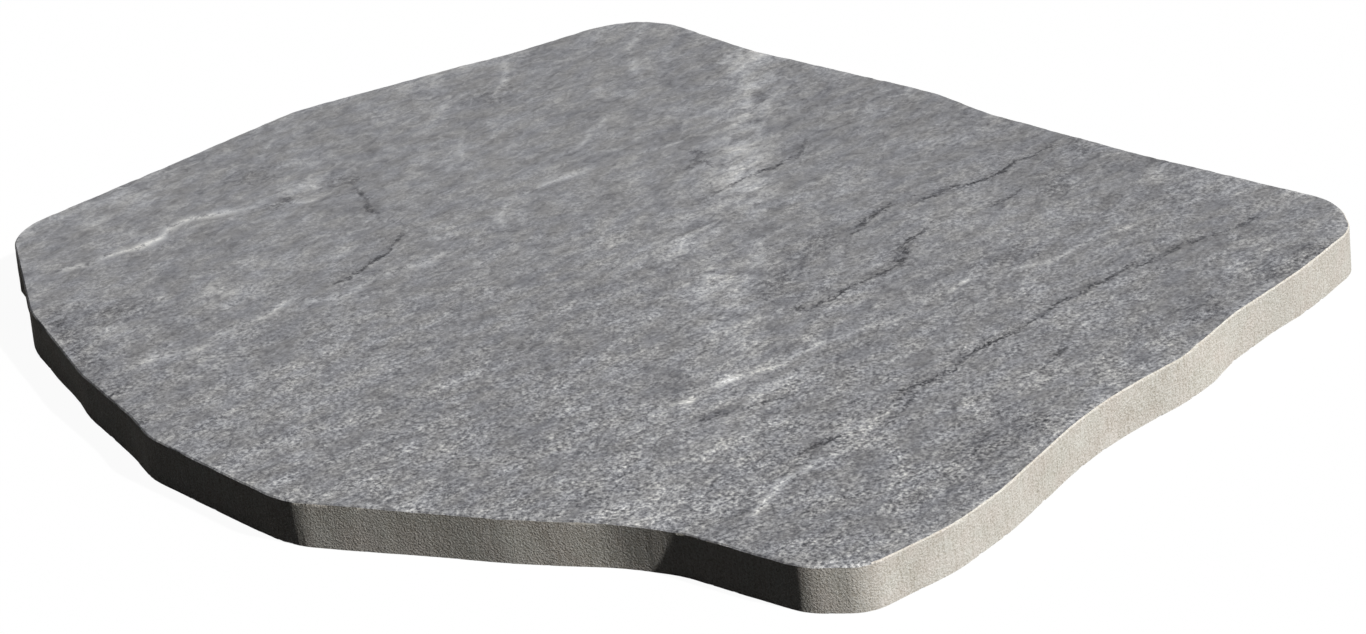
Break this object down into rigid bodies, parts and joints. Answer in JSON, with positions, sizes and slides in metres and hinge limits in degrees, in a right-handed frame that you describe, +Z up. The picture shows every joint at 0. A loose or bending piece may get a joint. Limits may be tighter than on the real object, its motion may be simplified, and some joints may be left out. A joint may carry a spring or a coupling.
{
  "type": "stepping stone",
  "caption": "Irregular freeform stepping stone: a thick flat porcelain paver with a slate-like face and an upright cut rim.",
  "frame": {"origin": "Middle of the outline's box, on the ground plane under the lands of the pressed underside.", "axes": "X runs along the stone's greatest length, +X to the right as the picture shows it. Y runs across it, +Y away from the picture's camera. Z is up through the thickness, and the stone-like face is on top."},
  "size_m": [0.544, 0.507, 0.02],
  "materials": {
    "stoneware": "matte"
  },
  "bodies": {
    "root": {"slab": "stoneware"}
  },
  "joints": []
}
